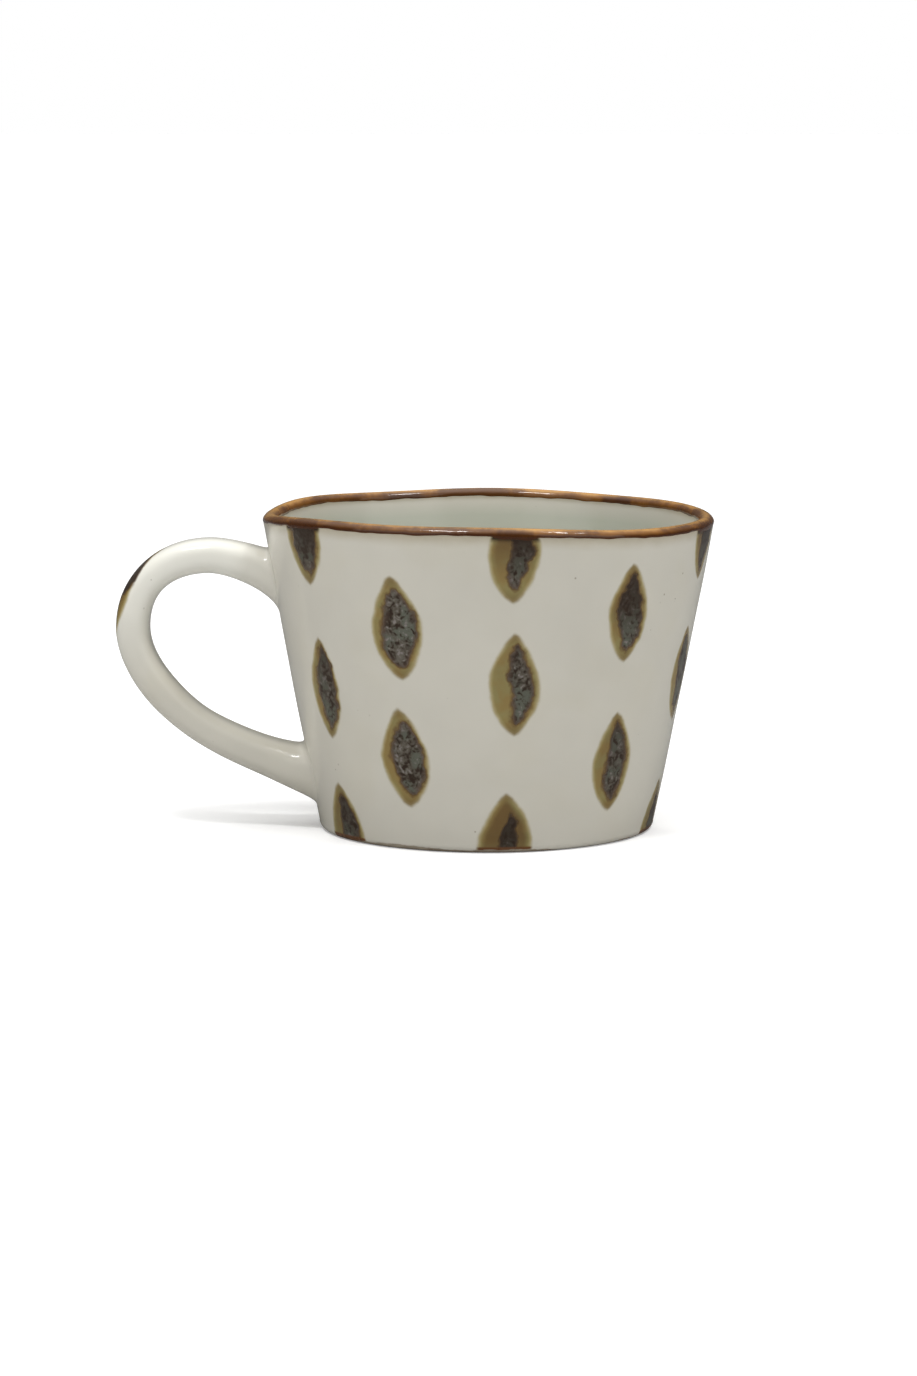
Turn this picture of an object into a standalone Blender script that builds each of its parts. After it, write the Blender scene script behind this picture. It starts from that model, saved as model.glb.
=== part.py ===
"""A hand-built stoneware mug, modelled in metres with +Z up.

The mug stands on Z = 0 with its axis on Z and its handle towards -X. A straight slab of clay is
rolled into a cone and joined round a flat disc, which is the floor. A coil of clay fills the inside
corner, a pulled strap is the handle, and a pad of clay joins each end of it to the wall. A band of
iron glaze covers the lip. The cut lip rises and dips a little and the mug isn't quite round, so every
turned piece is shaped by the same function and the fits between them hold.
"""

import math

import bmesh
import bpy
from mathutils import Matrix, Vector
from mathutils.geometry import interpolate_bezier

MM = 0.001

# Body
HEIGHT = 74.25 * MM            # table to the mean crest of the lip
RIM_RADIUS = 52.6 * MM         # outer face of the cone, carried up to the lip's crest
FOOT_RADIUS = 38.9 * MM        # outer face of the cone, carried down to the table
BELLY = 0.35 * MM              # outward swell of the cone's side at half height
WALL_THICKNESS = 3.8 * MM      # at the table
LIP_THICKNESS = 3.4 * MM       # at the lip, glaze band included
FLOOR_THICKNESS = 4.5 * MM
FOOT_ROUNDING = 1.8 * MM
COIL_SIZE = 5.0 * MM           # leg of the coil along the wall and along the floor
COIL_EDGE = 0.3 * MM           # blunt thickness of the coil's two feathered edges

# Glaze band on the lip
BAND_THICKNESS = 0.45 * MM
BAND_DEPTH_OUTSIDE = 2.7 * MM  # below the crest
BAND_DEPTH_INSIDE = 2.5 * MM

# Handle
HANDLE_THICKNESS = 7.8 * MM
HANDLE_WIDTH = 12.4 * MM
UPPER_ROOT_BELOW_RIM = 14.9 * MM
LOWER_ROOT_HEIGHT = 13.2 * MM
UPPER_SWELL = 1.0 * MM         # growth of the half thickness at the upper root
LOWER_SWELL = 2.0 * MM         # and at the lower root
SWELL_REACH = 8.0 * MM         # distance along the strap in which a swell fades to a third
JOINT_LENGTH = 5.0 * MM        # clay pad between the strap's cut end and the wall
JOINT_FLARE = 0.9 * MM         # smoothed edge of the pad on the wall
FLARE_REACH = 2.2 * MM

# The strap's line in side view: (outward, up) from the root that each point belongs to, with the
# direction and the pull of the line at that point.
UPPER_ROOT_DIRECTION = (0.82, 0.57)
UPPER_ROOT_PULL = 3.5 * MM
CREST = (14.4 * MM, 4.4 * MM)
CREST_PULL_IN = 3.9 * MM
CREST_PULL_OUT = 10.4 * MM
OUTERMOST = (32.6 * MM, -12.5 * MM)
OUTERMOST_PULL_UP = 10.5 * MM
OUTERMOST_PULL_DOWN = 9.6 * MM
LOWER_ARM = (24.7 * MM, 10.2 * MM)
LOWER_ARM_DIRECTION = (-0.85, -0.53)
LOWER_ARM_PULL = 8.0 * MM
LOWER_ROOT_DIRECTION = (-0.96, -0.27)
LOWER_ROOT_PULL = 8.9 * MM

# Clearance between pieces that touch
CLEARANCE = 0.3 * MM

# Shaping by hand: (number of waves round the mug, height of a wave, direction of a crest in degrees)
RIM_WAVES = (
    (1, 0.53 * MM, 180.0),
    (2, 0.53 * MM, 74.0),
    (3, 0.26 * MM, 10.0),
    (5, 0.18 * MM, 4.0),
    (6, 0.17 * MM, -28.0),
)
PLAN_WAVES = (
    (5, 0.35 * MM, -11.0),
    (3, 0.25 * MM, -30.0),
)
FLAT_SHARE = 0.3               # part of the height, from the table up, that the rim's waves don't reach
FOOT_PLAN_SHARE = 0.35         # how much of the plan's waves is left at the table
LEAN = 0.25 * MM               # shift of the lip away from the handle

# Fineness of the turned and swept shapes
TURN_STEPS = 72
SIDE_STEPS = 8
ARC_STEPS = 6
SECTION_SIDES = 28
PATH_STEPS = 12
FULL_TURN = 2.0 * math.pi


def outer_radius(height):
    """Radius of the cone's outer face at a height, before shaping by hand."""
    share = height / HEIGHT
    return FOOT_RADIUS + (RIM_RADIUS - FOOT_RADIUS) * share + BELLY * math.sin(math.pi * share)


def inner_radius(height):
    """Radius of the cone's inner face at a height, before shaping by hand."""
    share = height / HEIGHT
    return outer_radius(height) - WALL_THICKNESS - (LIP_THICKNESS - WALL_THICKNESS) * share


def waves(table, angle):
    """Sum of a table's waves at an angle round the mug."""
    return sum(height * math.cos(count * (angle - math.radians(crest))) for count, height, crest in table)


def shape_by_hand(mesh):
    """Press a turned mesh slightly out of round, tilt it and wave its upper part, as the mug was."""
    for vertex in mesh.vertices:
        radius = math.hypot(vertex.co.x, vertex.co.y)
        angle = math.atan2(vertex.co.y, vertex.co.x)
        share = vertex.co.z / HEIGHT
        rise = min(max((share - FLAT_SHARE) / (1.0 - FLAT_SHARE), 0.0), 1.0)
        plan_share = FOOT_PLAN_SHARE + (1.0 - FOOT_PLAN_SHARE) * share
        stretch = 1.0 + waves(PLAN_WAVES, angle) * plan_share / RIM_RADIUS
        vertex.co.x = radius * stretch * math.cos(angle) + LEAN * share
        vertex.co.y = radius * stretch * math.sin(angle)
        vertex.co.z += waves(RIM_WAVES, angle) * rise * rise * (3.0 - 2.0 * rise)


def arc(centre, radius, start, end):
    """Points of an arc in the (radius, height) plane, with angles in degrees from outward to up."""
    points = []
    for step in range(ARC_STEPS + 1):
        angle = math.radians(start + (end - start) * step / ARC_STEPS)
        points.append((centre[0] + radius * math.cos(angle), centre[1] + radius * math.sin(angle)))
    return points


def side(radius_at, start, end):
    """Points up or down a side whose radius is a function of the height."""
    heights = [start + (end - start) * step / SIDE_STEPS for step in range(SIDE_STEPS + 1)]
    return [(radius_at(height), height) for height in heights]


def lip_centre():
    """Centre of the lip's round crest in the (radius, height) plane."""
    height = HEIGHT - LIP_THICKNESS / 2.0
    return outer_radius(height) - LIP_THICKNESS / 2.0, height


def material(name, colour, roughness):
    """A Principled material without any metal in it."""
    made = bpy.data.materials.new(name)
    made.use_nodes = True
    shader = made.node_tree.nodes["Principled BSDF"]
    shader.inputs["Base Color"].default_value = (*colour, 1.0)
    shader.inputs["Roughness"].default_value = roughness
    shader.inputs["Metallic"].default_value = 0.0
    return made


def link(name, mesh, collection, finish=None):
    """Put a mesh into a collection as an object of this name."""
    made = bpy.data.objects.new(name, mesh)
    collection.objects.link(made)
    if finish is not None:
        mesh.materials.append(finish)
    mesh.shade_smooth()
    mesh.set_sharp_from_angle(angle=math.radians(40.0))
    return made


def baked_mesh(source, name):
    """The evaluated mesh of an object, welded and closed, with the source object removed."""
    bpy.context.view_layer.update()
    evaluated = source.evaluated_get(bpy.context.evaluated_depsgraph_get())
    mesh = bpy.data.meshes.new_from_object(evaluated)
    mesh.name = name
    bpy.data.objects.remove(source)
    work = bmesh.new()
    work.from_mesh(mesh)
    bmesh.ops.remove_doubles(work, verts=work.verts, dist=0.005 * MM)
    work.to_mesh(mesh)
    work.free()
    return mesh


def turned_mesh(name, profile, collection, closed=True):
    """Turn a (radius, height) profile, which runs down its outer side, round the axis."""
    mesh = bpy.data.meshes.new(name + "_profile")
    last = len(profile) - 1
    edges = [(index, index + 1) for index in range(last)]
    if closed:
        edges.append((last, 0))
    mesh.from_pydata([(radius, 0.0, height) for radius, height in profile], edges, [])
    source = bpy.data.objects.new(name + "_profile", mesh)
    collection.objects.link(source)
    screw = source.modifiers.new("turn", "SCREW")
    screw.angle = FULL_TURN
    screw.steps = TURN_STEPS
    screw.render_steps = TURN_STEPS
    screw.use_merge_vertices = True
    screw.merge_threshold = 0.005 * MM
    turned = baked_mesh(source, name)
    shape_by_hand(turned)
    return turned


def make_wall(collection, finish):
    """The rolled slab: a cone, thinner at the lip under the glaze band, rounded at the foot."""
    inset = BAND_THICKNESS + CLEARANCE
    outer_step = HEIGHT - BAND_DEPTH_OUTSIDE - CLEARANCE
    inner_step = HEIGHT - BAND_DEPTH_INSIDE - CLEARANCE
    foot_centre = (outer_radius(FOOT_ROUNDING) - FOOT_ROUNDING, FOOT_ROUNDING)
    centre = lip_centre()
    radius = LIP_THICKNESS / 2.0 - inset
    profile = arc(centre, radius, 90.0, 0.0)
    profile.append((outer_radius(outer_step) - inset, outer_step))
    profile += side(outer_radius, outer_step, FOOT_ROUNDING)
    profile += arc(foot_centre, FOOT_ROUNDING, 0.0, -90.0)[1:]
    profile += side(inner_radius, 0.0, inner_step)
    profile.append((inner_radius(inner_step) + inset, inner_step))
    profile += arc(centre, radius, 180.0, 90.0)[:-1]
    return link("wall", turned_mesh("wall", profile, collection), collection, finish)


def make_rim_glaze_band(collection, finish):
    """The iron glaze over the lip: a thin skin with a U section, open side down."""
    centre = lip_centre()
    radius = LIP_THICKNESS / 2.0
    outer_end = HEIGHT - BAND_DEPTH_OUTSIDE
    inner_end = HEIGHT - BAND_DEPTH_INSIDE
    profile = arc(centre, radius, 90.0, 0.0)
    profile.append((outer_radius(outer_end), outer_end))
    profile.append((outer_radius(outer_end) - BAND_THICKNESS, outer_end))
    profile += arc(centre, radius - BAND_THICKNESS, 0.0, 90.0)
    profile += arc(centre, radius - BAND_THICKNESS, 90.0, 180.0)[1:]
    profile.append((inner_radius(inner_end) + BAND_THICKNESS, inner_end))
    profile.append((inner_radius(inner_end), inner_end))
    profile += arc(centre, radius, 180.0, 90.0)[:-1]
    return link("rim_glaze_band", turned_mesh("rim_glaze_band", profile, collection), collection, finish)


def make_floor(collection, finish):
    """The disc of clay inside the foot of the wall, flat on both faces, with its edge on the cone."""
    work = bmesh.new()
    bmesh.ops.create_cone(
        work,
        cap_ends=True,
        segments=TURN_STEPS,
        radius1=inner_radius(0.0) - CLEARANCE,
        radius2=inner_radius(FLOOR_THICKNESS) - CLEARANCE,
        depth=FLOOR_THICKNESS,
        matrix=Matrix.Translation((0.0, 0.0, FLOOR_THICKNESS / 2.0)),
    )
    mesh = bpy.data.meshes.new("floor")
    work.to_mesh(mesh)
    work.free()
    shape_by_hand(mesh)
    return link("floor", mesh, collection, finish)


def make_corner_coil(collection, finish):
    """The coil of clay smoothed into the corner between the wall and the floor, hollow on its face."""
    low = FLOOR_THICKNESS + CLEARANCE
    high = low + COIL_SIZE
    corner = inner_radius(low) - CLEARANCE
    top = inner_radius(high) - CLEARANCE
    centre = (corner - COIL_SIZE, high)
    hollow = arc(centre, COIL_SIZE - COIL_EDGE, 270.0, 360.0)
    profile = [(top, high), (corner, low)]
    profile.append((corner - COIL_SIZE, low))
    profile += hollow
    return link("corner_coil", turned_mesh("corner_coil", profile, collection), collection, finish)


def handle_line():
    """Points of the strap's line from root to root, and each point's distance along it.

    The roots lie on the wall's outer face. The line is four Bezier spans in the XZ plane.
    """
    upper_height = HEIGHT - UPPER_ROOT_BELOW_RIM
    upper = Vector((-outer_radius(upper_height), 0.0, upper_height))
    lower = Vector((-outer_radius(LOWER_ROOT_HEIGHT), 0.0, LOWER_ROOT_HEIGHT))

    def beyond(root, offset):
        return root + Vector((-offset[0], 0.0, offset[1]))

    def pulled(point, direction, length):
        return point + Vector((-direction[0], 0.0, direction[1])).normalized() * length

    crest = beyond(upper, CREST)
    outermost = beyond(upper, OUTERMOST)
    arm = beyond(lower, LOWER_ARM)
    arm_back = (-LOWER_ARM_DIRECTION[0], -LOWER_ARM_DIRECTION[1])
    root_back = (-LOWER_ROOT_DIRECTION[0], -LOWER_ROOT_DIRECTION[1])
    spans = (
        (upper, pulled(upper, UPPER_ROOT_DIRECTION, UPPER_ROOT_PULL),
         pulled(crest, (-1.0, 0.0), CREST_PULL_IN), crest),
        (crest, pulled(crest, (1.0, 0.0), CREST_PULL_OUT),
         pulled(outermost, (0.0, 1.0), OUTERMOST_PULL_UP), outermost),
        (outermost, pulled(outermost, (0.0, -1.0), OUTERMOST_PULL_DOWN),
         pulled(arm, arm_back, LOWER_ARM_PULL), arm),
        (arm, pulled(arm, LOWER_ARM_DIRECTION, LOWER_ARM_PULL),
         pulled(lower, root_back, LOWER_ROOT_PULL), lower),
    )
    points = [upper]
    for span in spans:
        points += interpolate_bezier(*span, PATH_STEPS + 1)[1:]
    distances = [0.0]
    for before, after in zip(points, points[1:]):
        distances.append(distances[-1] + (after - before).length)
    return points, distances


def point_at(line, distance):
    """The point of the strap's line at a distance from the upper root, and the line's direction there.

    Beyond either root the line runs straight on into the wall.
    """
    points, distances = line
    if distance <= 0.0:
        direction = (points[1] - points[0]).normalized()
        return points[0] + direction * distance, direction
    if distance >= distances[-1]:
        direction = (points[-1] - points[-2]).normalized()
        return points[-1] + direction * (distance - distances[-1]), direction
    index = next(number for number, reached in enumerate(distances) if reached > distance)
    share = (distance - distances[index - 1]) / (distances[index] - distances[index - 1])
    direction = (points[index] - points[index - 1]).normalized()
    return points[index - 1].lerp(points[index], share), direction


def half_thickness(line, distance):
    """Half the strap's thickness at a distance along its line: it swells towards both roots."""
    length = line[1][-1]
    upper = UPPER_SWELL * math.exp(-max(distance, 0.0) / SWELL_REACH)
    lower = LOWER_SWELL * math.exp(-max(length - distance, 0.0) / SWELL_REACH)
    return HANDLE_THICKNESS / 2.0 + upper + lower


def make_handle(collection, finish):
    """The pulled strap: an oval rail along the line, cut off square short of the wall at both ends."""
    line = handle_line()
    start = JOINT_LENGTH
    end = line[1][-1] - JOINT_LENGTH
    stations = len(line[0])
    curve = bpy.data.curves.new("handle_line", "CURVE")
    curve.dimensions = "3D"
    curve.bevel_depth = HANDLE_THICKNESS / 2.0
    curve.bevel_resolution = SECTION_SIDES // 2 - 2
    curve.use_fill_caps = True
    spline = curve.splines.new("POLY")
    spline.points.add(stations - 1)
    for index, control in enumerate(spline.points):
        distance = start + (end - start) * index / (stations - 1)
        control.co = (*point_at(line, distance)[0], 1.0)
        control.radius = half_thickness(line, distance) / curve.bevel_depth
    source = bpy.data.objects.new("handle_line", curve)
    collection.objects.link(source)
    mesh = baked_mesh(source, "handle")
    mesh.transform(Matrix.Scale(HANDLE_WIDTH / HANDLE_THICKNESS, 4, (0.0, 1.0, 0.0)))
    return link("handle", mesh, collection, finish)


def loft(name, rings):
    """A closed mesh through rings of points of one count, with a flat cap at each end."""
    work = bmesh.new()
    loops = [[work.verts.new(point) for point in ring] for ring in rings]
    for near, far in zip(loops, loops[1:]):
        for index in range(SECTION_SIDES):
            after = (index + 1) % SECTION_SIDES
            work.faces.new((near[index], near[after], far[after], far[index]))
    work.faces.new(loops[0])
    work.faces.new(loops[-1])
    bmesh.ops.recalc_face_normals(work, faces=work.faces)
    mesh = bpy.data.meshes.new(name)
    work.to_mesh(mesh)
    work.free()
    return mesh


def make_handle_joint(name, at_upper_root, wall_body, collection, finish):
    """The clay pad between a cut end of the strap and the wall, flared where it meets the wall."""
    line = handle_line()
    length = line[1][-1]
    width_ratio = HANDLE_WIDTH / HANDLE_THICKNESS
    depth_in_wall = HANDLE_WIDTH
    rings = []
    for step in range(PATH_STEPS + 1):
        share = step / PATH_STEPS
        from_wall = (JOINT_LENGTH - CLEARANCE) * (1.0 - share) ** 2
        if step == PATH_STEPS:
            from_wall = -depth_in_wall
        distance = from_wall if at_upper_root else length - from_wall
        centre, direction = point_at(line, distance)
        flare = JOINT_FLARE * math.exp(-max(from_wall, 0.0) / FLARE_REACH)
        across = half_thickness(line, distance)
        upward = Vector((-direction.z, 0.0, direction.x))
        ring = []
        for side_index in range(SECTION_SIDES):
            angle = FULL_TURN * side_index / SECTION_SIDES
            thick = (across + flare) * math.cos(angle)
            wide = (across * width_ratio + flare) * math.sin(angle)
            ring.append(centre + upward * thick + Vector((0.0, wide, 0.0)))
        rings.append(ring)
    pad = link(name, loft(name, rings), collection, finish)
    trim = pad.modifiers.new("trim_to_wall", "BOOLEAN")
    trim.operation = "DIFFERENCE"
    trim.solver = "EXACT"
    trim.object = wall_body
    return pad


def make_wall_body(collection):
    """A guide as large as the whole turned body and its clearance, which trims the clay pads."""

    def trimmed_radius(height):
        return outer_radius(height) + CLEARANCE

    profile = [(0.0, HEIGHT)]
    profile += side(trimmed_radius, HEIGHT, 0.0)
    profile.append((0.0, 0.0))
    made = link("wall_body", turned_mesh("wall_body", profile, collection, closed=False), collection)
    made.hide_render = True
    made.display_type = "WIRE"
    return made


def main():
    """Clear the scene and build the mug."""
    for old in list(bpy.data.objects):
        bpy.data.objects.remove(old)
    parts = bpy.data.collections.new("stoneware_mug")
    cutters = bpy.data.collections.new("cutters")
    bpy.context.scene.collection.children.link(parts)
    bpy.context.scene.collection.children.link(cutters)

    make_wall(parts, material("white_glaze_wall", (0.51, 0.49, 0.43), 0.16))
    make_floor(parts, material("bare_clay_floor", (0.36, 0.30, 0.24), 0.85))
    make_corner_coil(parts, material("white_glaze_coil", (0.44, 0.44, 0.38), 0.18))
    make_rim_glaze_band(parts, material("iron_glaze_band", (0.12, 0.038, 0.010), 0.22))
    make_handle(parts, material("white_glaze_handle", (0.51, 0.49, 0.43), 0.16))

    wall_body = make_wall_body(cutters)
    make_handle_joint("upper_handle_joint", True, wall_body, parts,
                      material("white_glaze_upper_joint", (0.51, 0.49, 0.43), 0.16))
    make_handle_joint("lower_handle_joint", False, wall_body, parts,
                      material("white_glaze_lower_joint", (0.51, 0.49, 0.43), 0.16))


main()
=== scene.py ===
"""The looks of a hand-built stoneware mug: its glazed clay, leaf marks, iron-brown lip and stage.

The file is laid out as a Blender add-on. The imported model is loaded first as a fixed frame, each
operator makes one piece over it, and main() runs the operators in order.
"""

import math

import bpy
import numpy as np
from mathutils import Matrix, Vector


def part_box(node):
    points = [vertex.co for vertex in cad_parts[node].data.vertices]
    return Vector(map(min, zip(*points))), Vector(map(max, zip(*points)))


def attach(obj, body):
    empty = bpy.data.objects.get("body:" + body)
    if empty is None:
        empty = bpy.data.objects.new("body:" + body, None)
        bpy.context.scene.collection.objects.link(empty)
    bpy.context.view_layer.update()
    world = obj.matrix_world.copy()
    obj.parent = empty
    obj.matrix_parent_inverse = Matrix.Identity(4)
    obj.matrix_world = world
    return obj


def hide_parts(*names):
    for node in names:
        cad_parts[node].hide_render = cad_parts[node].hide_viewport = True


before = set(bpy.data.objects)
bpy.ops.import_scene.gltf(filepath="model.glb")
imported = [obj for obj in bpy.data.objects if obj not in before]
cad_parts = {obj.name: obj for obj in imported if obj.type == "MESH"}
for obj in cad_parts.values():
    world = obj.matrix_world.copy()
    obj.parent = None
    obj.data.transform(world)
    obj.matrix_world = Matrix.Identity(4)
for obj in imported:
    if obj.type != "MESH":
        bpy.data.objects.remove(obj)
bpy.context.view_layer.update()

bl_info = {
    "name": "Hand-built Stoneware Mug",
    "version": (1, 0, 0),
    "blender": (4, 5, 0),
    "location": "View3D > Sidebar > Mug",
    "description": "Makes a glazed stoneware mug with leaf marks and a brown lip, and its studio stage",
    "category": "Add Mesh",
}

MM = 0.001
BODY = "root"
TURN = 2.0 * math.pi

# Direction of the handle, anticlockwise from +X.
HANDLE_ANGLE = math.pi

# What the frame fixes, in metres: the table under the wall, and the top of the floor slab.
TABLE = float(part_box("wall")[0][2])
FLOOR_TOP = float(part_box("floor")[1][2])

# Shaping by hand: (number of waves round the mug, height of a wave, direction of a crest in degrees).
RIM_WAVES = (
    (1, 0.53 * MM, 180.0),
    (2, 0.53 * MM, 74.0),
    (3, 0.26 * MM, 10.0),
    (5, 0.18 * MM, 4.0),
    (6, 0.17 * MM, -28.0),
)
PLAN_WAVES = (
    (5, 0.35 * MM, -11.0),
    (3, 0.25 * MM, -30.0),
)
# Share of the height below which the rim's waves don't reach, and the plan's waves left at the foot.
FLAT_SHARE = 0.3
FOOT_PLAN_SHARE = 0.35

# The strap's line in side view: (outward, up) from the root that each point belongs to.
UPPER_ROOT_DIRECTION = (0.82, 0.57)
UPPER_ROOT_PULL = 3.5 * MM
CREST = (14.4 * MM, 4.4 * MM)
CREST_PULL_IN = 3.9 * MM
CREST_PULL_OUT = 10.4 * MM
OUTERMOST = (32.6 * MM, -12.5 * MM)
OUTERMOST_PULL_UP = 10.5 * MM
OUTERMOST_PULL_DOWN = 9.6 * MM
LOWER_ARM = (24.7 * MM, 10.2 * MM)
LOWER_ARM_DIRECTION = (-0.85, -0.53)
LOWER_ARM_PULL = 8.0 * MM
LOWER_ROOT_DIRECTION = (-0.96, -0.27)
LOWER_ROOT_PULL = 8.9 * MM
# How far the line runs on straight past both roots.
RUN_ON = 16.0 * MM
# Power of the superellipse of the strap's section: 2 is an ellipse, more is squarer.
SECTION_SQUARENESS = 2.8

# Leaf marks: eleven columns round the mug, counted from the handle, which carries a leaf of its own.
COLUMNS = 11
TIP_ROUNDING = 2.4 * MM
# (column, height of the middle, lean in degrees, width and core's offset, half width and length as
# shares of the leaf's, darkness of the brush load)
LEAVES_IN_FRONT = (
    (1.12, 71.4 * MM, 1.0, 1.04, 0.10, 0.70, 0.86, 0.7),
    (1.12, 36.0 * MM, -1.0, 0.84, 0.16, 0.66, 0.86, 0.6),
    (1.09, 2.2 * MM, 1.0, 1.02, 0.20, 0.56, 0.84, 0.7),
    (1.98, 51.4 * MM, 2.6, 1.06, 0.10, 0.72, 0.80, 0.0),
    (1.96, 21.8 * MM, 3.5, 1.00, 0.18, 0.66, 0.82, 0.1),
    (2.94, 69.4 * MM, 0.0, 0.98, 0.24, 0.42, 0.80, 0.3),
    (2.97, 39.4 * MM, 1.9, 0.98, 0.26, 0.46, 0.84, 0.2),
    (2.93, 2.6 * MM, 0.0, 1.04, 0.14, 0.36, 0.70, 1.5),
    (3.97, 55.4 * MM, 2.6, 0.97, 0.10, 0.64, 0.84, 1.3),
    (4.02, 20.0 * MM, 2.9, 0.97, 0.18, 0.56, 0.84, 0.5),
    (4.95, 72.6 * MM, 0.0, 1.08, 0.15, 0.60, 0.86, 0.8),
    (5.00, 38.0 * MM, 7.0, 1.06, 0.15, 0.60, 0.86, 0.3),
    (5.02, 1.2 * MM, 0.0, 1.10, 0.15, 0.50, 0.80, 0.5),
)
# Outlines: powers of the upper and lower half of the halo and of the core.
HALO_POWERS = (1.7, 2.2)
CORE_POWERS = (1.9, 2.3)
# Value of the leaf fields, in millimetres, where there is no leaf.
NO_LEAF = -9.0
# The handle's leaf, its values as above: how far along the strap and aside, and its core's shift up.
HANDLE_LEAF = (0.97, 0.0, 0.86, 0.56, 2.0)
HANDLE_LEAF_AT = 35.6 * MM
HANDLE_LEAF_ASIDE = 0.5 * MM
HANDLE_CORE_RISE = 3.4 * MM
# Heaviest load of a brushed leaf, and how far below the band the iron pulls a leaf's load up.
BRUSH_LOAD = 0.84
BAND_PULL = 11.0 * MM
# One pinhole in the glaze: the column it is near and its height.
PINHOLE = (4.54, 57.0 * MM)
# Heights of the leaves in the columns behind, which hold three and two by turns.
THREE_LEAF_HEIGHTS = (71.0 * MM, 37.5 * MM, 2.0 * MM)
TWO_LEAF_HEIGHTS = (53.5 * MM, 21.0 * MM)
SEED = 11

MID_GREY = (0.5, 0.5, 0.5, 1.0)
# Small marks in the finishes.
FRECKLE_BROWN = (0.16, 0.12, 0.07)
PINHOLE_BROWN = (0.09, 0.07, 0.05)
CRYSTAL_LILAC = (0.205, 0.178, 0.165)
PALE_CLAY = (0.36, 0.31, 0.24)
DARK_GROG = (0.09, 0.06, 0.04)
FLOOR_PATCH = (0.86, 0.86, 0.86)
# Depth of each glaze's fine relief, and how strongly it mirrors.
GLAZE_RELIEF = 0.09 * MM
IRON_RELIEF = 0.18 * MM
GLAZE_IOR = 1.45
IRON_IOR = 1.52

# Grid points round each piece.
WALL_COLUMNS = 760
FLOOR_COLUMNS = 240
COIL_COLUMNS = 360
BAND_COLUMNS = 1100
STRAP_COLUMNS = 112
# Grid points across: the floor's radius, the band, the strap's length, a joint.
FLOOR_ROWS = 46
BAND_ROWS = 40
STRAP_ROWS = 300
JOINT_ROWS = 36
# How far the band's glaze reaches into the clay under it.
BAND_SINK = 0.12 * MM

# Studio light: a soft dome, brightest overhead, and softboxes that all face LIGHT_AIM.
DOME_TOP = 2.1
DOME_SIDE = 0.1
LIGHT_AIM = (0.0, 0.0, 0.05)
# (name, place in metres, width and depth in metres, power in watts)
SOFTBOXES = (
    ("left_softbox", (-0.28, -0.36, 0.94), 0.26, 0.12, 2.8),
    ("right_softbox", (0.44, -0.12, 0.94), 0.15, 0.15, 2.2),
    ("side_softbox", (1.1, -0.9, 0.6), 1.4, 1.1, 3.6),
    ("fill_softbox", (-1.0, -1.1, 0.6), 1.4, 1.1, 3.0),
)
CAMERA_PLACE = (-6.52 * MM, -950.0 * MM, 163.8 * MM)
CAMERA_AIM = (-6.52 * MM, 0.0, 32.4 * MM)
CAMERA_SENSOR = 36.0
CAMERA_LENS = 106.96
FLOOR_REACH = 60.0
# Only the camera sees the floor's faint glow. It keeps the ground near white and its shadows soft.
FLOOR_GLOW = 0.22


# ---------------------------------------------------------------------------------------------
# Settings
# ---------------------------------------------------------------------------------------------


def length_property(name, description, default):
    """A size in metres that the panel shows with its unit."""
    return bpy.props.FloatProperty(
        name=name, description=description, default=default, unit="LENGTH", precision=5, min=0.0
    )


def colour_property(name, description, default):
    """A linear colour with a swatch."""
    return bpy.props.FloatVectorProperty(
        name=name, description=description, default=default, subtype="COLOR", size=3, min=0.0, max=1.0
    )


class MugSizes(bpy.types.PropertyGroup):
    """Sizes of the fired clay, as the frame has them."""

    height: length_property("Height", "Table to the mean crest of the lip", 74.25 * MM)
    rim_radius: length_property("Rim radius", "Outer face of the cone carried up to the crest", 52.6 * MM)
    foot_radius: length_property("Foot radius", "Outer face of the cone carried down to the table", 38.9 * MM)
    belly: length_property("Belly", "Outward swell of the side at half height", 0.35 * MM)
    wall_thickness: length_property("Wall", "Thickness of the wall at the table", 3.8 * MM)
    lip_thickness: length_property("Lip", "Thickness of the wall at the lip", 3.4 * MM)
    foot_rounding: length_property("Foot rounding", "Radius of the rounded outer edge of the foot", 1.8 * MM)
    floor_thickness: length_property("Floor", "Thickness of the floor slab", FLOOR_TOP)
    coil_size: length_property("Coil", "Leg of the clay coil in the inside corner", 5.0 * MM)
    lean: length_property("Lean", "Shift of the lip away from the handle", 0.25 * MM)
    band_outside: length_property("Band outside", "Depth of the brown band outside the lip", 1.60 * MM)
    band_inside: length_property("Band inside", "Depth of the brown band inside the lip", 1.70 * MM)
    band_thickness: length_property("Band thickness", "Height of the brown glaze over the clay", 0.22 * MM)
    strap_thickness: length_property("Strap thickness", "Thickness of the handle", 7.8 * MM)
    strap_width: length_property("Strap width", "Width of the handle", 12.4 * MM)
    upper_root_below_rim: length_property("Upper root", "Handle's upper root below the crest", 14.9 * MM)
    lower_root_height: length_property("Lower root", "Height of the handle's lower root", 13.2 * MM)
    joint_length: length_property("Joint", "Length of the worked clay at each root", 6.0 * MM)
    leaf_width: length_property("Leaf width", "Half width of a leaf mark", 6.0 * MM)
    leaf_length: length_property("Leaf length", "Half length of a leaf mark", 12.2 * MM)


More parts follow.
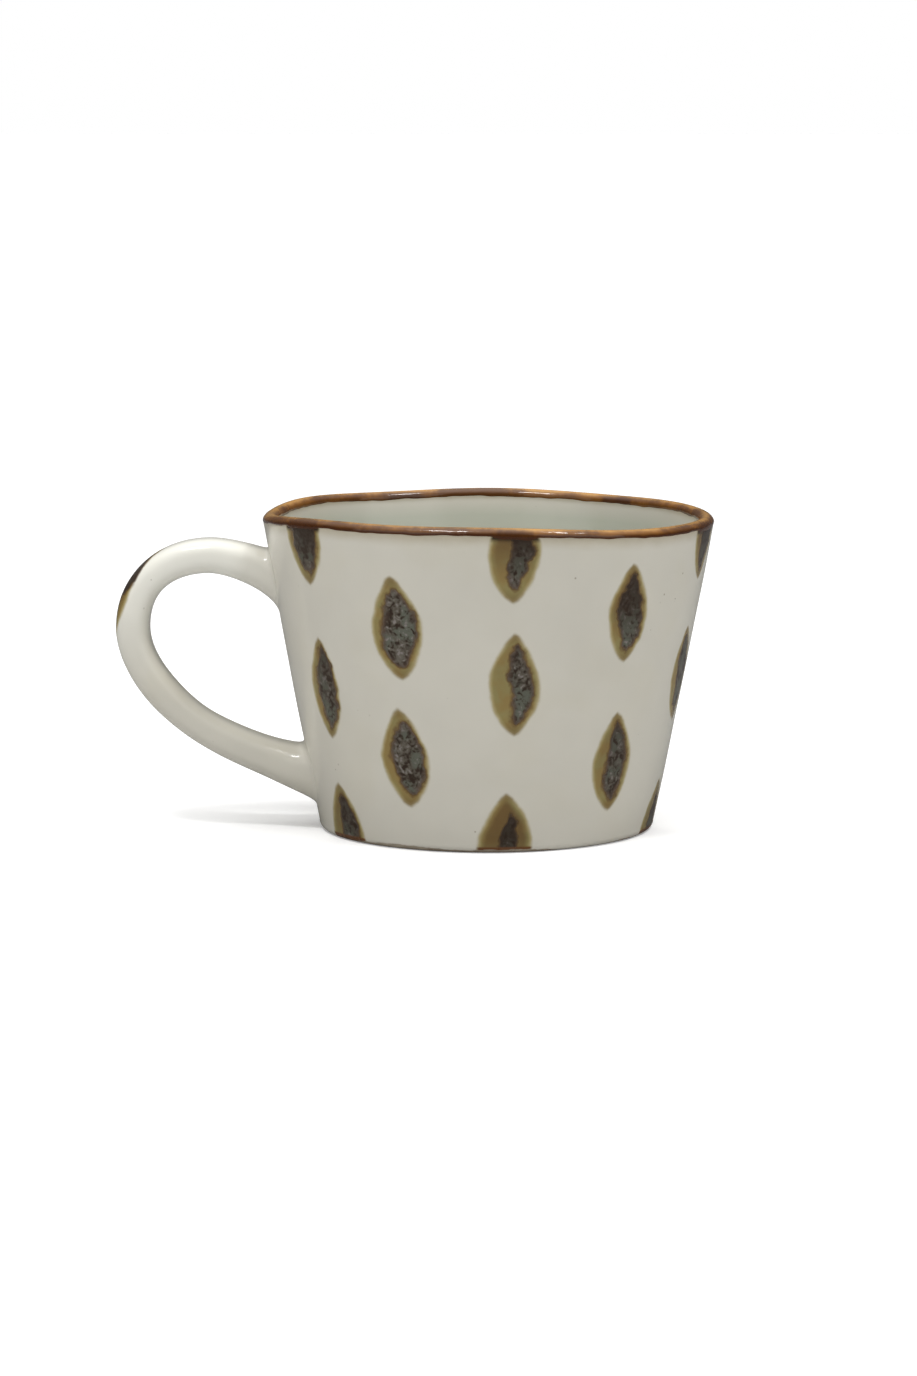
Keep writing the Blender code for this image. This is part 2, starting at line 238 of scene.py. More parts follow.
class MugColours(bpy.types.PropertyGroup):
    """Linear colours of the glazes and of the clay."""

    # Painted light, not pooled glaze: a lighter copy of the white glaze that brightens the handle's top and
    # outer bend, where more light falls.
    painted_light_glaze: colour_property(
        "Thick glaze", "White glaze pooled on the handle's bend", (0.750, 0.738, 0.668))
    white_glaze: colour_property("White glaze", "Warm grey-white body glaze", (0.575, 0.552, 0.480))
    # Painted shade, not a pool of glaze: a darker, greener copy of the white glaze inside the cup, where less
    # light falls.
    shaded_inside_glaze: colour_property(
        "Inside glaze", "The same glaze pooled inside the cup", (0.475, 0.484, 0.408))
    halo_olive: colour_property("Halo olive", "Greener parts of the iron wash", (0.245, 0.205, 0.078))
    halo_ochre: colour_property("Halo ochre", "Yellower parts of the iron wash", (0.250, 0.176, 0.058))
    halo_pale: colour_property("Halo pale", "Wash where it thins out at its edge", (0.370, 0.310, 0.160))
    core_grey: colour_property("Core grey", "Crystals in a leaf's core", (0.112, 0.098, 0.074))
    core_green: colour_property("Core green", "Greener drift over the core", (0.100, 0.105, 0.077))
    core_dark: colour_property("Core dark", "Dark gaps between the crystals", (0.026, 0.012, 0.004))
    foot_rust: colour_property(
        "Foot rust", "Rusty line where a leaf runs over the foot", (0.135, 0.056, 0.018))
    core_border: colour_property("Core border", "Purplish brown edge of a core", (0.090, 0.058, 0.040))
    core_rust: colour_property("Core rust", "Brown border of the core and tips", (0.125, 0.070, 0.022))
    iron_mid: colour_property("Iron", "Brown iron glaze on the lip", (0.200, 0.074, 0.005))
    iron_dark: colour_property("Iron dark", "Iron glaze where it is thick", (0.046, 0.012, 0.001))
    iron_bright: colour_property(
        "Iron bright", "Iron glaze where it breaks over an edge", (0.520, 0.270, 0.062))
    bare_clay: colour_property("Bare clay", "Unglazed stoneware of the foot", (0.250, 0.205, 0.150))
    stage_floor: colour_property("Stage floor", "Pale studio floor", (0.920, 0.920, 0.920))
    bounced_floor: colour_property("Bounced light", "Floor as it lights the mug", (0.690, 0.690, 0.690))
    mirrored_floor: colour_property("Mirrored floor", "Floor as the glaze mirrors it", (0.180, 0.180, 0.180))


def sizes():
    """The sizes set in the scene."""
    return bpy.context.scene.mug_sizes


def colours():
    """The colours set in the scene."""
    return bpy.context.scene.mug_colours


# ---------------------------------------------------------------------------------------------
# Shape of the cup
# ---------------------------------------------------------------------------------------------


def outer_radius(height):
    """Cone's outer radius: foot plus a straight slope plus a half-sine belly."""
    s = sizes()
    share = height / s.height
    return s.foot_radius + (s.rim_radius - s.foot_radius) * share + s.belly * np.sin(np.pi * share)


def wall_at(height):
    """Thickness of the wall, going evenly from the foot's to the lip's."""
    s = sizes()
    return s.wall_thickness + (s.lip_thickness - s.wall_thickness) * height / s.height


def inner_radius(height):
    """Cone's inner radius."""
    return outer_radius(height) - wall_at(height)


def ring_angles(count):
    """Even angles round the mug."""
    return np.linspace(0.0, TURN, count, endpoint=False)


def turned_from(angle, centre):
    """Angle from a centre, the shorter way round."""
    return (angle - centre + math.pi) % TURN - math.pi


def eased(share):
    """Smooth step of a share, cut to 0 and 1: three squares less two cubes."""
    share = np.clip(share, 0.0, 1.0)
    return share * share * (3.0 - 2.0 * share)


def waves(table, angle):
    """Sum of cosines: each wave has a count round the mug, a height and the direction of a crest."""
    return sum(height * np.cos(count * (angle - math.radians(crest))) for count, height, crest in table)


def rise_share(height):
    """Smooth step from 0 in the flat lower part to 1 at the crest."""
    return eased((height / sizes().height - FLAT_SHARE) / (1.0 - FLAT_SHARE))


def pressed(radius, angle, height):
    """Points of the turned shape after shaping by hand, as an array with x, y and z last.

    The radius is stretched by the plan's waves, the lip is shifted by the lean, and the upper part is
    lifted by the rim's waves.
    """
    s = sizes()
    share = height / s.height
    plan_share = FOOT_PLAN_SHARE + (1.0 - FOOT_PLAN_SHARE) * share
    stretched = radius * (1.0 + waves(PLAN_WAVES, angle) * plan_share / s.rim_radius)
    x = stretched * np.cos(angle) + s.lean * share
    y = stretched * np.sin(angle)
    z = height + waves(RIM_WAVES, angle) * rise_share(height)
    return np.stack(np.broadcast_arrays(x, y, z), axis=-1)


def thumb_marks(angle, height):
    """Low swells of pressed clay, up to 0.1 mm, fading out at the foot: products of slow sines."""
    s = sizes()
    share = height / s.height
    slow = np.sin(3.0 * angle + 4.0 * share + 0.6) * np.sin(5.0 * share - 2.0 * angle + 1.1)
    quick = np.sin(7.0 * angle - 9.0 * share) * np.sin(11.0 * share + 4.0 * angle + 2.0)
    return (0.10 * MM * slow + 0.05 * MM * quick) * np.clip(6.0 * share, 0.0, 1.0)


def lip_centre():
    """Centre of the lip's round crest: its radius and height."""
    s = sizes()
    height = s.height - s.lip_thickness / 2.0
    return outer_radius(height) - s.lip_thickness / 2.0, height


def lip_profile(lift, outside, inside, count):
    """Profile over the lip from a depth outside, over the round crest, to a depth inside.

    lift is the height over the clay: one number, or one for each of count points. The points are spread
    evenly along the profile: a straight side, a half circle, a straight side.
    """
    s = sizes()
    half = s.lip_thickness / 2.0
    centre_radius, centre_height = lip_centre()
    lengths = (max(outside - half, 0.0), math.pi * half, max(inside - half, 0.0))
    along = np.linspace(0.0, sum(lengths), count)
    turn = np.clip((along - lengths[0]) / lengths[1], 0.0, 1.0) * math.pi
    drop = np.maximum(lengths[0] - along, 0.0) + np.maximum(along - lengths[0] - lengths[1], 0.0)
    height = centre_height + (half + lift) * np.sin(turn) - drop
    middle = centre_radius + outer_radius(np.minimum(height, centre_height)) - outer_radius(centre_height)
    radius = middle + (half + lift) * np.cos(turn)
    return radius, height


# ---------------------------------------------------------------------------------------------
# Leaf marks
# ---------------------------------------------------------------------------------------------


def leaf_distance(across, along, half_width, half_length, upper_power, lower_power):
    """Distance in metres inside the outline of a leaf, negative outside.

    The leaf's half width is one minus a power of the height above or below its middle: the larger the
    power, the blunter the tip. The distance is measured square to the sloping side, and blends smoothly
    with the distance to a level end, so that the tips are rounded.
    """
    size = np.abs(along / half_length) + 1e-6
    power = np.where(along > 0.0, upper_power, lower_power)
    width = half_width * (1.0 - size ** power)
    slope = half_width * power * size ** (power - 1.0) / half_length
    side = (width - np.abs(across)) / np.sqrt(1.0 + slope * slope)
    end = half_length - np.abs(along)
    share = np.clip(0.5 + 0.5 * (end - side) / TIP_ROUNDING, 0.0, 1.0)
    return end + (side - end) * share - TIP_ROUNDING * share * (1.0 - share)


def wall_leaves():
    """All the wall's leaves: the columns in front as set, the others by turns of three and two.

    Each is (angle, height, lean, width, core offset, core half width, core length, darkness), the
    angles in radians.
    """
    pitch = TURN / COLUMNS
    leaves = [
        (HANDLE_ANGLE + column * pitch, height, math.radians(lean), *shares)
        for column, height, lean, *shares in LEAVES_IN_FRONT
    ]
    chance = np.random.default_rng(SEED)
    for column in range(6, COLUMNS):
        heights = TWO_LEAF_HEIGHTS if column % 2 == 0 else THREE_LEAF_HEIGHTS
        for height in heights:
            angle = HANDLE_ANGLE + (column + chance.uniform(-0.06, 0.06)) * pitch
            rise = chance.uniform(-1.5, 1.5) * MM
            lean = math.radians(chance.uniform(-1.0, 4.0))
            lows, highs = (0.9, 0.08, 0.48, 0.80, 0.0), (1.08, 0.26, 0.74, 0.90, 0.9)
            leaves.append((angle, height + rise, lean, *chance.uniform(lows, highs)))
    return leaves


def leaf_fields(across, along, width, offset, core_width, core_length, darkness):
    """Distances in millimetres inside a leaf's halo and inside its core, nearness to a tip, and load.

    The core is a narrower and shorter leaf, moved sideways towards its middle, with a wavy side. The
    brush load is heavier in the upper half.
    """
    s = sizes()
    half_width = width * s.leaf_width
    wobble = 0.07 * half_width * np.sin(along / (2.3 * MM) + 40.0 * core_width)
    halo = leaf_distance(across + 0.3 * wobble, along, half_width, 1.03 * s.leaf_length, *HALO_POWERS)
    spread = 1.0 - np.clip(np.abs(along / s.leaf_length), 0.0, 1.0)
    inner_across = across - offset * half_width * np.sqrt(spread) + wobble
    inner = leaf_distance(
        inner_across, along, core_width * half_width, core_length * s.leaf_length, *CORE_POWERS)
    tip = np.clip(np.abs(along) / s.leaf_length, 0.0, 1.0)
    load = np.minimum(darkness * np.clip(0.5 + 0.8 * along / s.leaf_length, 0.0, 1.0), BRUSH_LOAD)
    return halo / MM, inner / MM, tip, load


def wall_leaf_fields(angle, height):
    """The leaf fields over the wall: for each point, the largest of all leaves' values.

    The load also rises to 1 towards the lip's band, and leaf_foot does so over the last millimetres of
    the foot, where the marks turn rusty.
    """
    halo = np.full(angle.shape, NO_LEAF)
    core = np.full(angle.shape, NO_LEAF)
    tip = np.zeros(angle.shape)
    load = np.zeros(angle.shape)
    slope = math.atan2(sizes().rim_radius - sizes().foot_radius, sizes().height)
    for leaf_angle, leaf_height, lean, *shares in wall_leaves():
        right = turned_from(angle, leaf_angle) * outer_radius(height)
        up = (height - leaf_height) / math.cos(slope)
        across = right * math.cos(lean) + up * math.sin(lean)
        along = up * math.cos(lean) - right * math.sin(lean)
        leaf_halo, leaf_core, leaf_tip, leaf_load = leaf_fields(across, along, *shares)
        core = np.maximum(core, leaf_core)
        near = np.clip((leaf_halo + 2.0) / 2.0, 0.0, 1.0)
        tip = np.maximum(tip, near * leaf_tip)
        load = np.maximum(load, near * leaf_load)
        halo = np.maximum(halo, leaf_halo)
    s = sizes()
    pulled = np.clip(1.0 - (s.height - s.band_outside - height) / BAND_PULL, 0.0, 1.0)
    load = np.maximum(load, pulled)
    foot = np.clip(1.9 - height / (1.0 * MM), 0.0, 1.0)
    return {"leaf_halo": halo, "leaf_core": core, "leaf_tip": tip, "leaf_load": load, "leaf_foot": foot}


# ---------------------------------------------------------------------------------------------
# Meshes
# ---------------------------------------------------------------------------------------------


def grid_piece(name, points, fields, rows_close, poles=False, creases=()):
    """An object over a grid of points whose columns close in a ring.

    points has the shape (rows, columns, 3). rows_close joins the last row to the first; poles makes
    the first and the last row one vertex each. The faces are turned outwards by the sign of the
    enclosed volume. fields are values for each point. creases are rows whose edges stay sharp.
    """
    rows, columns = points.shape[:2]
    index = np.arange(rows * columns).reshape(rows, columns)
    if poles:
        index = index - (columns - 1)
        index[0] = 0
        index[-1] = index[-2, -1] + 1
    above = index if rows_close else index[:-1]
    below = np.roll(index, -1, axis=0) if rows_close else index[1:]
    quads = np.stack([above, np.roll(above, -1, 1), np.roll(below, -1, 1), below], axis=-1)
    keep = np.ones((rows, columns), dtype=bool)
    fans = []
    if poles:
        keep[0, 1:] = False
        keep[-1, 1:] = False
        fans = [quads[0][:, [0, 2, 3]], quads[-1][:, [0, 1, 2]]]
        quads = quads[1:-1]
    quads = quads.reshape(-1, 4)
    flat = points[keep]
    first, second, third, fourth = (flat[quads[:, corner]] for corner in range(4))
    volume = np.sum(np.cross(first, second) * third) + np.sum(np.cross(first, third) * fourth)
    order = 1 if volume > 0.0 else -1
    faces = [quads[:, ::order]] + [fan[:, ::order] for fan in fans]
    corners = np.concatenate([each.ravel() for each in faces]).astype(np.int32)
    counts = np.concatenate([np.full(len(each), each.shape[1]) for each in faces])
    mesh = bpy.data.meshes.new(name)
    mesh.vertices.add(len(flat))
    mesh.vertices.foreach_set("co", flat.astype(np.float32).ravel())
    mesh.loops.add(len(corners))
    mesh.loops.foreach_set("vertex_index", corners)
    mesh.polygons.add(len(counts))
    mesh.polygons.foreach_set("loop_start", (np.cumsum(counts) - counts).astype(np.int32))
    mesh.update(calc_edges=True)
    for field, values in fields.items():
        layer = mesh.attributes.new(field, "FLOAT", "POINT")
        full = np.broadcast_to(values, (rows, columns))[keep].astype(np.float32)
        layer.data.foreach_set("value", np.ascontiguousarray(full))
    mesh.validate()
    mesh.shade_smooth()
    if creases:
        ends = np.empty(2 * len(mesh.edges), dtype=np.int32)
        mesh.edges.foreach_get("vertices", ends)
        ends = ends.reshape(-1, 2)
        sharp = np.zeros(len(ends), dtype=bool)
        for row in creases:
            sharp |= np.isin(ends, index[row]).all(axis=1)
        layer = mesh.attributes.new("sharp_edge", "BOOLEAN", "EDGE")
        layer.data.foreach_set("value", sharp)
    piece = bpy.data.objects.new(name, mesh)
    bpy.context.scene.collection.objects.link(piece)
    return piece


def dress(piece, nodes, material):
    """Tie a piece to the frame: parent it to its body, hide the solids it stands for, and give it its
    material.
    """
    piece.data.materials.append(material)
    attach(piece, BODY)
    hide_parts(*nodes)


# ---------------------------------------------------------------------------------------------
# Shader node groups
# ---------------------------------------------------------------------------------------------


class Nodes:
    """A short way to write a node tree: each call adds one node and gives back its output."""

    def __init__(self, tree):
        self.tree = tree

    def add(self, kind, inputs=None, **settings):
        """Add a node of a kind, set its properties, and set or link its inputs by name or number."""
        node = self.tree.nodes.new(kind)
        for name, value in settings.items():
            setattr(node, name, value)
        for name, value in (inputs or {}).items():
            self.put(node.inputs[name], value)
        return node

    def put(self, socket, value):
        """Link an output to a socket, or write a plain value into it."""
        if isinstance(value, bpy.types.NodeSocket):
            self.tree.links.new(value, socket)
        elif hasattr(value, "__len__") and len(value) == 3 and socket.type == "RGBA":
            socket.default_value = (*value, 1.0)
        else:
            socket.default_value = value

    def math(self, operation, first, second=0.0, third=0.0):
        """One Math node."""
        return self.add("ShaderNodeMath", {0: first, 1: second, 2: third}, operation=operation).outputs[0]

    def times(self, first, second):
        """Product of two numbers."""
        return self.math("MULTIPLY", first, second)

    def fused(self, first, second, third):
        """Product of the first two numbers, plus the third."""
        return self.math("MULTIPLY_ADD", first, second, third)

    def step(self, value, low, high):
        """Smooth step of a value from 0 at low to 1 at high."""
        ends = {"Value": value, "From Min": low, "From Max": high}
        return self.add("ShaderNodeMapRange", ends, interpolation_type="SMOOTHSTEP").outputs["Result"]

    def blend(self, share, first, second):
        """Mix of two colours by a share."""
        return self.add("ShaderNodeMix", {0: share, 6: first, 7: second}, data_type="RGBA").outputs[2]

    def lerp(self, share, first, second):
        """Mix of two numbers by a share."""
        return self.add("ShaderNodeMix", {0: share, 2: first, 3: second}, data_type="FLOAT").outputs[0]

    def noise(self, where, scale, detail=2.0, roughness=0.5, distortion=0.0):
        """Fractal noise of a number of features a metre."""
        values = {"Vector": where, "Scale": scale, "Detail": detail, "Roughness": roughness}
        return self.add("ShaderNodeTexNoise", {**values, "Distortion": distortion}).outputs["Fac"]

    def cells(self, where, scale):
        """Voronoi cells of a number a metre: the distance to the nearest centre."""
        return self.add("ShaderNodeTexVoronoi", {"Vector": where, "Scale": scale}).outputs["Distance"]

    def field(self, name):
        """A value stored on the mesh."""
        return self.add("ShaderNodeAttribute", attribute_name=name).outputs["Fac"]

    def place(self):
        """The object's own coordinates, in metres."""
        return self.add("ShaderNodeTexCoord").outputs["Object"]


def group(name, takes):
    """A new shader node group with named sockets, which puts out a colour, a roughness and a height.

    takes gives each input's default: None for a vector, four numbers for a colour, one for a number.
    """
    tree = bpy.data.node_groups.new(name, "ShaderNodeTree")
    for socket_name, default in takes.items():
        kind = "Vector" if default is None else "Color" if isinstance(default, tuple) else "Float"
        socket = tree.interface.new_socket(socket_name, in_out="INPUT", socket_type="NodeSocket" + kind)
        if default is not None:
            socket.default_value = default
    for socket_name, kind in (("Colour", "Color"), ("Roughness", "Float"), ("Height", "Float")):
        tree.interface.new_socket(socket_name, in_out="OUTPUT", socket_type="NodeSocket" + kind)
    nodes = Nodes(tree)
    return nodes, nodes.add("NodeGroupInput"), nodes.add("NodeGroupOutput")


def give_out(nodes, out, colour, roughness, height):
    """Join a group's results to its outputs, and give back the group."""
    for name, value in (("Colour", colour), ("Roughness", roughness), ("Height", height)):
        nodes.put(out.inputs[name], value)
    return nodes.tree


def glaze_skin_group():
    """Fired glaze: soft cloudy tone, faint freckles, rare pinholes, and a skin like orange peel."""
    nodes, given, out = group(
        "glaze_skin", {"Where": None, "Colour": MID_GREY, "Clouds": 0.06, "Freckles": 0.5})
    where = given.outputs["Where"]
    cloud = nodes.noise(where, 38.0, 3.0, 0.55)
    streak = nodes.noise(where, 150.0, 2.0, 0.5)
    tone = nodes.math("ADD", nodes.times(nodes.math("SUBTRACT", cloud, 0.5), 2.0),
                      nodes.times(nodes.math("SUBTRACT", streak, 0.5), 0.5))
    lightness = nodes.fused(tone, given.outputs["Clouds"], 1.0)
    toned = nodes.add("ShaderNodeHueSaturation", {"Value": lightness, "Color": given.outputs["Colour"]})
    warm = nodes.noise(where, 55.0, 2.0, 0.5, 0.6)
    warmth = {"Saturation": 1.35, "Value": 0.97, "Color": toned.outputs[0]}
    warmed = nodes.add("ShaderNodeHueSaturation", warmth).outputs[0]
    tinted = nodes.blend(nodes.times(nodes.step(warm, 0.45, 0.75), 0.35), toned.outputs[0], warmed)
    speck = nodes.step(nodes.cells(where, 260.0), 0.085, 0.04)
    sparse = nodes.step(nodes.noise(where, 90.0, 1.0), 0.56, 0.66)
    freckle = nodes.times(nodes.times(speck, sparse), given.outputs["Freckles"])
    freckled = nodes.blend(freckle, tinted, FRECKLE_BROWN)
    hole = nodes.times(nodes.step(nodes.cells(where, 75.0), 0.034, 0.016),
                      nodes.step(nodes.noise(where, 30.0, 1.0), 0.55, 0.62))
    coloured = nodes.blend(nodes.times(hole, 0.8), freckled, PINHOLE_BROWN)
    peel = nodes.noise(where, 420.0, 2.0, 0.45)
    slow = nodes.noise(where, 85.0, 2.0, 0.4)
    height = nodes.fused(peel, 0.10, nodes.fused(slow, 0.55, nodes.times(hole, -1.2)))
    rough = nodes.fused(nodes.noise(where, 60.0, 3.0), 0.06, 0.13)
    return give_out(nodes, out, coloured, rough, height)


def leaf_brush_group():
    """A brushed leaf: an iron wash, ochre at its soft edge and brown inside, round a grey crystal core.

    Halo and Core are millimetres inside the two outlines. Noise pushes both, so that the edges bleed.
    """
    c = colours()
    nodes, given, out = group("leaf_brush", {
        "Where": None, "Halo": NO_LEAF, "Core": NO_LEAF, "Tip": 0.0, "Load": 0.0, "Foot": 0.0,
        "Colour": MID_GREY, "Roughness": 0.2, "Height": 0.0})
    where = given.outputs["Where"]
    load = given.outputs["Load"]
    foot_line = nodes.step(given.outputs["Foot"], 0.2, 0.7)
    bleed = nodes.math("SUBTRACT", nodes.noise(where, 480.0, 2.0, 0.5), 0.5)
    wander = nodes.math("SUBTRACT", nodes.noise(where, 210.0, 1.0, 0.5), 0.5)
    halo = nodes.fused(wander, 0.9, nodes.fused(bleed, 0.5, given.outputs["Halo"]))
    core = nodes.fused(wander, 1.8, nodes.fused(bleed, 2.0, given.outputs["Core"]))
    wash = nodes.step(halo, -0.45, 0.50)
    patchy = nodes.step(nodes.noise(where, 230.0, 2.0, 0.5, 0.3), 0.36, 0.66)
    body = nodes.blend(patchy, c.halo_olive, c.halo_ochre)
    edged = nodes.blend(nodes.step(halo, 1.1, 0.1), body, c.halo_pale)
    brown = nodes.times(nodes.step(core, -0.9, 0.2), 0.9)
    tipped = nodes.math("MAXIMUM", brown, nodes.times(nodes.step(given.outputs["Tip"], 0.62, 1.0), 0.6))
    loaded = nodes.math("MAXIMUM", tipped, nodes.times(load, nodes.step(halo, 0.4, 2.2)))
    browned = nodes.blend(loaded, edged, c.core_rust)
    washed = nodes.blend(wash, given.outputs["Colour"], browned)
    inside = nodes.times(nodes.step(core, -0.3, 0.6), wash)
    squiggle = nodes.noise(where, 620.0, 1.0, 0.5, 0.9)
    fine = nodes.noise(where, 1300.0, 1.0, 0.5)
    grain = nodes.fused(fine, 0.50, nodes.times(squiggle, 0.9))
    grey = nodes.blend(nodes.step(grain, 0.56, 0.82), c.core_dark, c.core_grey)
    drift = nodes.step(nodes.noise(where, 250.0, 1.0), 0.42, 0.58)
    tinted = nodes.blend(nodes.times(drift, nodes.step(grain, 0.5, 0.7)), grey, c.core_green)
    lilac = nodes.blend(nodes.step(grain, 0.80, 0.96), tinted, CRYSTAL_LILAC)
    border = nodes.blend(nodes.times(nodes.step(core, 1.3, 0.3), 0.75), lilac, c.core_border)
    shade = nodes.blend(load, border, c.core_dark)
    centred = nodes.blend(inside, washed, shade)
    seamed = nodes.blend(nodes.times(nodes.step(load, 0.86, 0.98), wash), centred, c.core_dark)
    cored = nodes.blend(nodes.times(foot_line, wash), seamed, c.foot_rust)
    matte = nodes.lerp(inside, nodes.lerp(wash, given.outputs["Roughness"], 0.20), 0.34)
    relief = nodes.fused(nodes.times(inside, grain), 0.8, given.outputs["Height"])
    raised = nodes.fused(wash, 0.3, relief)
    return give_out(nodes, out, cored, matte, raised)


def bare_clay_group():
    """Unglazed stoneware: sandy colour with darker grog and a gritty skin."""
    c = colours()
    nodes, given, out = group("bare_clay", {"Where": None})
    where = given.outputs["Where"]
    cloud = nodes.noise(where, 60.0, 4.0, 0.6)
    toned = nodes.blend(nodes.step(cloud, 0.35, 0.68), c.bare_clay, PALE_CLAY)
    grog = nodes.step(nodes.cells(where, 700.0), 0.22, 0.08)
    sparse = nodes.step(nodes.noise(where, 240.0, 2.0), 0.5, 0.62)
    grogged = nodes.blend(nodes.times(nodes.times(grog, sparse), 0.8), toned, DARK_GROG)
    grit = nodes.noise(where, 1800.0, 3.0, 0.65)
    return give_out(nodes, out, grogged, nodes.fused(grit, 0.14, 0.74), nodes.fused(grit, 0.9, cloud))


GROUP_MAKERS = {
    "glaze_skin": glaze_skin_group,
    "leaf_brush": leaf_brush_group,
    "bare_clay": bare_clay_group,
}


def shared_group(name):
    """The shader group of this name, made on first use."""
    found = bpy.data.node_groups.get(name)
    return found if found is not None else GROUP_MAKERS[name]()


def new_material(name):
    """A material with an empty Principled tree: its node writer and its shader."""
    made = bpy.data.materials.new(name)
    made.use_nodes = True
    shader = made.node_tree.nodes["Principled BSDF"]
    return made, Nodes(made.node_tree), shader


def place_group(nodes, name, inputs):
    """Put a shared group into a material."""
    node = nodes.add("ShaderNodeGroup", node_tree=shared_group(name))
    for socket, value in inputs.items():
        nodes.put(node.inputs[socket], value)
    return node


def finish_material(nodes, shader, colour, roughness, height, bump):
    """Join colour, roughness and a bump of a depth in metres to the shader."""
    nodes.put(shader.inputs["Base Color"], colour)
    nodes.put(shader.inputs["Roughness"], roughness)
    bumped = nodes.add("ShaderNodeBump", {"Strength": 1.0, "Distance": bump, "Height": height})
    nodes.put(shader.inputs["Normal"], bumped.outputs["Normal"])


def glazed_material(name, colour, with_leaves, with_clay):
    """White glaze, with leaves where the mesh carries them and bare clay where it says so."""
    made, nodes, shader = new_material(name)
    where = nodes.place()
    # Painted light: the handle's top and outer bend blend to the lighter glaze.
    toned = nodes.blend(nodes.field("painted_light_glaze"), colour, colours().painted_light_glaze)
    skin = place_group(nodes, "glaze_skin", {"Where": where, "Colour": toned})
    colour_out, rough, height = (skin.outputs[key] for key in ("Colour", "Roughness", "Height"))
    if with_clay:
        # Painted shade: where the mesh marks the inside, the glaze takes the darker shaded copy.
        colour_out = nodes.blend(nodes.field("inside"), colour_out, place_group(
            nodes, "glaze_skin", {"Where": where, "Colour": colours().shaded_inside_glaze}).outputs["Colour"])
        stain = nodes.fused(nodes.noise(where, 300.0, 2.0), 0.35, nodes.field("stain"))
        colour_out = nodes.blend(nodes.times(nodes.step(stain, 0.15, 1.30), 0.45), colour_out,
                                 colours().halo_ochre)
        hole = nodes.step(nodes.fused(nodes.noise(where, 1400.0, 2.0), 0.5, nodes.field("pinhole")),
                          0.85, 1.05)
        colour_out = nodes.blend(hole, colour_out, colours().core_dark)
    if with_leaves:
        leaf = place_group(nodes, "leaf_brush", {
            "Where": where, "Halo": nodes.field("leaf_halo"), "Core": nodes.field("leaf_core"),
            "Tip": nodes.field("leaf_tip"), "Load": nodes.field("leaf_load"),
            "Foot": nodes.field("leaf_foot"),
            "Colour": colour_out, "Roughness": rough, "Height": height})
        colour_out, rough, height = (leaf.outputs[key] for key in ("Colour", "Roughness", "Height"))
    if with_clay:
        clay = place_group(nodes, "bare_clay", {"Where": where})
        ragged = nodes.fused(nodes.noise(where, 500.0, 3.0), 0.7, nodes.field("bare"))
        share = nodes.step(ragged, 0.72, 0.98)
        colour_out = nodes.blend(share, colour_out, clay.outputs["Colour"])
        rough = nodes.lerp(share, rough, clay.outputs["Roughness"])
        height = nodes.lerp(share, height, clay.outputs["Height"])
    finish_material(nodes, shader, colour_out, rough, height, GLAZE_RELIEF)
    shader.inputs["IOR"].default_value = GLAZE_IOR
    return made


def iron_material(name):
    """Brown iron glaze: dark where thick, orange where it breaks over the crest and thins at the edges."""
    c = colours()
    made, nodes, shader = new_material(name)
    where = nodes.place()
    over = nodes.field("over")
    crest = nodes.field("crest")
    run = nodes.noise(where, 75.0, 2.0, 0.5, 0.4)
    fleck = nodes.noise(where, 700.0, 2.0, 0.5)
    pool = nodes.fused(fleck, 0.20, run)
    base = nodes.blend(nodes.times(nodes.step(pool, 0.50, 0.72), 0.65), c.iron_mid, c.iron_dark)
    thin = nodes.fused(nodes.math("SUBTRACT", pool, 0.6), -1.3, crest)
    broken = nodes.blend(nodes.times(nodes.step(thin, 0.42, 0.98), 0.85), base, c.iron_bright)
    edge = nodes.times(nodes.step(over, 0.42, 0.12), nodes.lerp(nodes.field("inner"), 0.95, 0.35))
    pooled = nodes.blend(edge, broken, c.iron_dark)
    fringed = nodes.blend(nodes.times(nodes.step(over, 0.045, 0.0), 0.5), pooled, c.iron_mid)
    near_leaf = nodes.step(nodes.field("leaf_halo"), 0.0, 1.5)
    outer = nodes.times(nodes.step(crest, 0.75, 0.25), near_leaf)
    coloured = nodes.blend(nodes.times(outer, 0.8), fringed, c.iron_dark)
    rough = nodes.fused(fleck, 0.06, 0.09)
    height = nodes.fused(nodes.noise(where, 260.0, 2.0), 0.8, nodes.times(fleck, 0.15))
    finish_material(nodes, shader, coloured, rough, height, IRON_RELIEF)
    shader.inputs["IOR"].default_value = IRON_IOR
    return made


# ---------------------------------------------------------------------------------------------
# Pieces of the cup
# ---------------------------------------------------------------------------------------------


